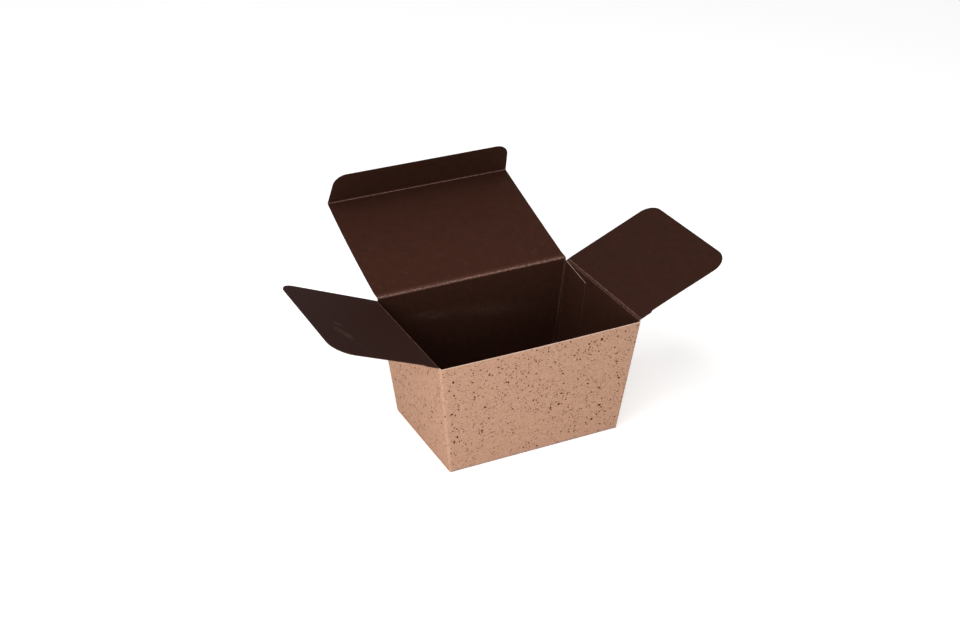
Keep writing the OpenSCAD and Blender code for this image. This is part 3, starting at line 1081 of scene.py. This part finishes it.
def kraft_material(colours):
    """Kraft: a warm brown ground mottled by soft clouds and pale fibres, paler on worn folds and,
    along the upright folds, also by painted highlight, with dark flecks of four sizes and painted
    shade at its foot. A noise bends the flecks' edges."""
    edge_bend, cloud_tone, fibre_tone, worn_tone, middle_tone = 0.5, 0.7, 1.6, 0.6, 0.5
    fleck_hollow = 0.3
    material, tree, shader = new_material("kraft card")
    sheet, wear = sheet_place(tree), value_of(tree, "wear")
    ragged = vector_calc(tree, "SUBTRACT", noise(tree, sheet, 2.5).outputs["Color"],
                         (0.5, 0.5, 0.5))
    bent = vector_calc(tree, "MULTIPLY_ADD", ragged, (edge_bend, edge_bend, 0.0), sheet)
    dark = fleck_mask(tree, sheet, bent, wear)
    tone = use(tree, cloud_group(), Vector=sheet, Scale=0.35).outputs["Tone"]
    stretched = vector_calc(tree, "MULTIPLY", bent, (0.5, 1.0, 1.0))
    fibres = noise(tree, stretched, 1.1, detail=3.0, roughness=0.7).outputs[0]
    fine = calc(tree, "MULTIPLY", calc(tree, "SUBTRACT", fibres, 0.5), fibre_tone)
    pale = calc(tree, "ADD", calc(tree, "MULTIPLY_ADD", tone, cloud_tone, middle_tone),
                calc(tree, "MULTIPLY_ADD", wear, worn_tone, fine))
    ground = mixed(tree, held(tree, pale), four(colours.kraft), four(colours.kraft_pale))
    clean = mixed(tree, dark, ground, four(colours.fleck))
    # Painted shade: the foot of the card is mixed towards a bluish grey
    base = mixed(tree, value_of(tree, "soil"), clean, four(colours.soiled))
    height = calc(tree, "SUBTRACT", fibres, calc(tree, "MULTIPLY", dark, fleck_hollow))
    finish_shader(tree, shader, base, height, roughness=0.85, level=0.1, depth=0.02 * MM)
    return material


def cocoa_material(colours):
    """Cocoa print: a dark brown ground with soft clouds, darker and greyer on the left flap by
    painted shade and reflection, lighter on the lid by painted light, with a few winding fibres
    where the lid is painted lighter, and worn through along the creases."""
    fibre_share = 0.06
    material, tree, shader = new_material("cocoa print")
    worn_group = group("worn print", {"Vector": (0.0, 0.0, 0.0), "Wear": 0.0, "Breaks": 0.5},
                       ["Mask"], worn_print)
    sheet, lid_lit = sheet_place(tree), value_of(tree, "thin")
    tone = use(tree, cloud_group(), Vector=sheet, Scale=0.25).outputs["Tone"]
    full = mixed(tree, ramp(tree, tone, -0.35, 0.35), four(colours.cocoa),
                 four(colours.cocoa_deep))
    # Painted shade and reflection: the left flap's print is mixed towards the darker, greyer cocoa
    grey = mixed(tree, value_of(tree, "grey"), full, four(colours.cocoa_grey))
    # Painted light: the lid's inside is mixed towards the lighter cocoa
    thin = calc(tree, "MULTIPLY", lid_lit, calc(tree, "SUBTRACT", 1.0, tone))
    ground = mixed(tree, thin, grey, four(colours.cocoa_thin))
    patches = ramp(tree, noise(tree, sheet, 0.2).outputs[0], 0.5, 0.6)
    lines = use(tree, winding_group(), Vector=sheet, Scale=0.45, Width=0.05).outputs["Mask"]
    fibres = product(tree, lines, patches, lid_lit, fibre_share)
    worn = use(tree, worn_group, Vector=sheet, Wear=value_of(tree, "wear"), Breaks=3.0)
    rubbed = calc(tree, "MAXIMUM", worn.outputs["Mask"], fibres)
    base = mixed(tree, rubbed, ground, four(colours.rubbed))
    grain = noise(tree, sheet, 4.0, detail=3.0, roughness=0.6).outputs[0]
    finish_shader(tree, shader, base, grain, roughness=0.6, level=0.02, depth=0.01 * MM)
    return material


def core_material(colours):
    """Cut edge of the card: the pale core, with fine fibres along the cut, darkened towards cocoa
    by painted shade where its edge mark says so."""
    material, tree, shader = new_material("card core")
    on_box = place(tree, "ShaderNodeTexCoord").outputs["Object"]
    fine = place(tree, "ShaderNodeTexNoise",
                 {"Vector": on_box, "Scale": 2500.0, "Detail": 2.0}).outputs[0]
    pale = mixed(tree, ramp(tree, fine, 0.3, 0.8), four(colours.core), four(colours.kraft_pale))
    # Painted shade: the cut edge is mixed towards cocoa
    base = mixed(tree, value_of(tree, "inked"), pale, four(colours.cocoa))
    finish_shader(tree, shader, base, fine, roughness=0.9, level=0.1, depth=0.01 * MM)
    return material


def card_materials(settings):
    """The three finishes of the card: inside, outside and cut edge. Each is made once."""
    return [
        bpy.data.materials.get(name) or make(settings.colours)
        for name, make in (("cocoa print", cocoa_material), ("kraft card", kraft_material),
                           ("card core", core_material))]


# Studio


# Height in metres of the point that the lamps look at, and the soft lamps: height above the
# horizon and turn from the front in degrees, size and distance in metres, and strength in watts
LAMP_AIM = 0.05
LAMPS = {
    "front lamp": (12, -26, 0.45, 0.9, 3.63),
    "high front lamp": (60, -26, 0.45, 0.9, 1.05),
    "left lamp": (35, -60, 0.45, 0.9, 1.47),
    "low left lamp": (12, -90, 0.45, 0.9, 2.3),
    "top lamp": (72, -90, 0.6, 0.9, 1.9),
}


def back_of(azimuth, elevation):
    """Direction from the box to a camera or lamp, from its turn and its height."""
    return np.array([sin(azimuth) * cos(elevation), -cos(azimuth) * cos(elevation),
                     sin(elevation)])


def looking(spot, back, roll=0.0):
    """Matrix of a camera or lamp at a spot that looks along the opposite of back."""
    right = unit(np.cross(Z, back))
    up = np.cross(back, right)
    matrix = np.eye(4)
    matrix[:3] = np.stack([cos(roll) * right + sin(roll) * up,
                           cos(roll) * up - sin(roll) * right, back, spot], 1)
    return Matrix(matrix.tolist())


def make_camera(studio):
    """The camera, at the angle from which the box was seen."""
    data = bpy.data.cameras.new("camera")
    data.sensor_width = 36.0
    data.lens = studio.lens / MM
    data.clip_start = 0.01
    camera = bpy.data.objects.new("camera", data)
    bpy.context.scene.collection.objects.link(camera)
    back = back_of(studio.azimuth, studio.elevation)
    aim = studio.aim_height * Z - studio.aim_left * X
    camera.matrix_world = looking(aim + back * studio.distance, back, studio.roll)
    bpy.context.scene.camera = camera


def make_lamps():
    """The soft lamps round the box."""
    for name, (elevation, azimuth, size, distance, watts) in LAMPS.items():
        data = bpy.data.lights.new(name, "AREA")
        data.shape = "DISK"
        data.size = size
        data.energy = watts
        lamp = bpy.data.objects.new(name, data)
        bpy.context.scene.collection.objects.link(lamp)
        back = back_of(radians(azimuth), radians(elevation))
        lamp.matrix_world = looking(back * distance + LAMP_AIM * Z, back)


def seen_directly(tree):
    """1 for rays from the camera, and for those of reflections and of glass."""
    path = tree.nodes.new("ShaderNodeLightPath").outputs
    mirrored = calc(tree, "MAXIMUM", path["Is Glossy Ray"], path["Is Transmission Ray"])
    return calc(tree, "MAXIMUM", path["Is Camera Ray"], mirrored)


def make_world(studio):
    """An even dome of light, seen as white by the camera and in reflections."""
    world = bpy.data.worlds.new("studio")
    world.use_nodes = True
    tree = world.node_tree
    tree.nodes.clear()
    strength = place(tree, "ShaderNodeMix", {0: seen_directly(tree), 2: studio.dome, 3: 1.0})
    light = place(tree, "ShaderNodeBackground",
                  {"Color": four((1, 1, 1)), "Strength": strength.outputs[0]})
    output = tree.nodes.new("ShaderNodeOutputWorld")
    tree.links.new(light.outputs[0], output.inputs["Surface"])
    bpy.context.scene.world = world


def make_floor(studio):
    """A white floor. For the camera it adds some white of its own to the white that the lamps
    give it, so that only the box's nearer shadow shows."""
    half, grey = 3.0, 0.9
    mesh = bpy.data.meshes.new("floor")
    mesh.from_pydata([(-half, -half, 0), (half, -half, 0), (half, half, 0), (-half, half, 0)],
                     [], [(0, 1, 2, 3)])
    material = bpy.data.materials.new("white floor")
    material.use_nodes = True
    tree = material.node_tree
    tree.nodes.clear()
    matt = place(tree, "ShaderNodeBsdfDiffuse", {"Color": four((grey, grey, grey))})
    glowing = calc(tree, "MULTIPLY", seen_directly(tree), studio.floor_glow)
    glow = place(tree, "ShaderNodeEmission", {"Color": four((1, 1, 1)), "Strength": glowing})
    both = place(tree, "ShaderNodeAddShader", {0: matt.outputs[0], 1: glow.outputs[0]})
    output = tree.nodes.new("ShaderNodeOutputMaterial")
    tree.links.new(both.outputs[0], output.inputs["Surface"])
    mesh.materials.append(material)
    floor = bpy.data.objects.new("floor", mesh)
    bpy.context.scene.collection.objects.link(floor)


def make_stage(context):
    """Camera, lamps, floor and background."""
    studio = context.scene.praline_box.studio
    make_camera(studio)
    make_lamps()
    make_world(studio)
    make_floor(studio)
    context.scene.view_settings.view_transform = "Standard"


# Operators, panel and registration


class WallsOperator(bpy.types.Operator):
    """Fold the four walls and the glued flap"""

    bl_idname = "praline.walls"
    bl_label = "Walls"

    def execute(self, context):
        make_walls(context)
        return {"FINISHED"}


class BottomOperator(bpy.types.Operator):
    """Fold the four bottom panels"""

    bl_idname = "praline.bottom"
    bl_label = "Bottom"

    def execute(self, context):
        make_bottom(context)
        return {"FINISHED"}


class SideFlapsOperator(bpy.types.Operator):
    """Cut the two side flaps"""

    bl_idname = "praline.side_flaps"
    bl_label = "Side flaps"

    def execute(self, context):
        make_side_flaps(context)
        return {"FINISHED"}


class LidOperator(bpy.types.Operator):
    """Cut the lid and its tuck flap"""

    bl_idname = "praline.lid"
    bl_label = "Lid and tuck flap"

    def execute(self, context):
        make_lid(context)
        return {"FINISHED"}


class CreasesOperator(bpy.types.Operator):
    """Press the four folds that move"""

    bl_idname = "praline.creases"
    bl_label = "Creases"

    def execute(self, context):
        make_creases(context)
        return {"FINISHED"}


class StageOperator(bpy.types.Operator):
    """Set up the camera, lamps, floor and background"""

    bl_idname = "praline.stage"
    bl_label = "Stage"

    def execute(self, context):
        make_stage(context)
        return {"FINISHED"}


OPERATORS = (WallsOperator, BottomOperator, SideFlapsOperator, LidOperator, CreasesOperator,
             StageOperator)


class PralineBoxPanel(bpy.types.Panel):
    """Steps and sizes of the praline box"""

    bl_idname = "VIEW3D_PT_praline_box"
    bl_label = "Praline box"
    bl_space_type = "VIEW_3D"
    bl_region_type = "UI"
    bl_category = "Praline box"

    def draw(self, context):
        for operator in OPERATORS:
            self.layout.operator(operator.bl_idname)
        settings = context.scene.praline_box
        for name in Settings.__annotations__:
            part = getattr(settings, name)
            column = self.layout.column(heading=name.capitalize())
            for size in type(part).__annotations__:
                column.prop(part, size)


CLASSES = (CardSizes, BoxSizes, FlapSizes, LidSizes, CardWear, CardColours, Studio, Settings,
           *OPERATORS, PralineBoxPanel)


def register():
    for part in CLASSES:
        bpy.utils.register_class(part)
    bpy.types.Scene.praline_box = PointerProperty(type=Settings)


def unregister():
    del bpy.types.Scene.praline_box
    for part in reversed(CLASSES):
        bpy.utils.unregister_class(part)


def main():
    """Registers the classes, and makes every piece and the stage."""
    register()
    for operator in OPERATORS:
        family, name = operator.bl_idname.split(".")
        getattr(getattr(bpy.ops, family), name)()


if __name__ == "__main__":
    main()
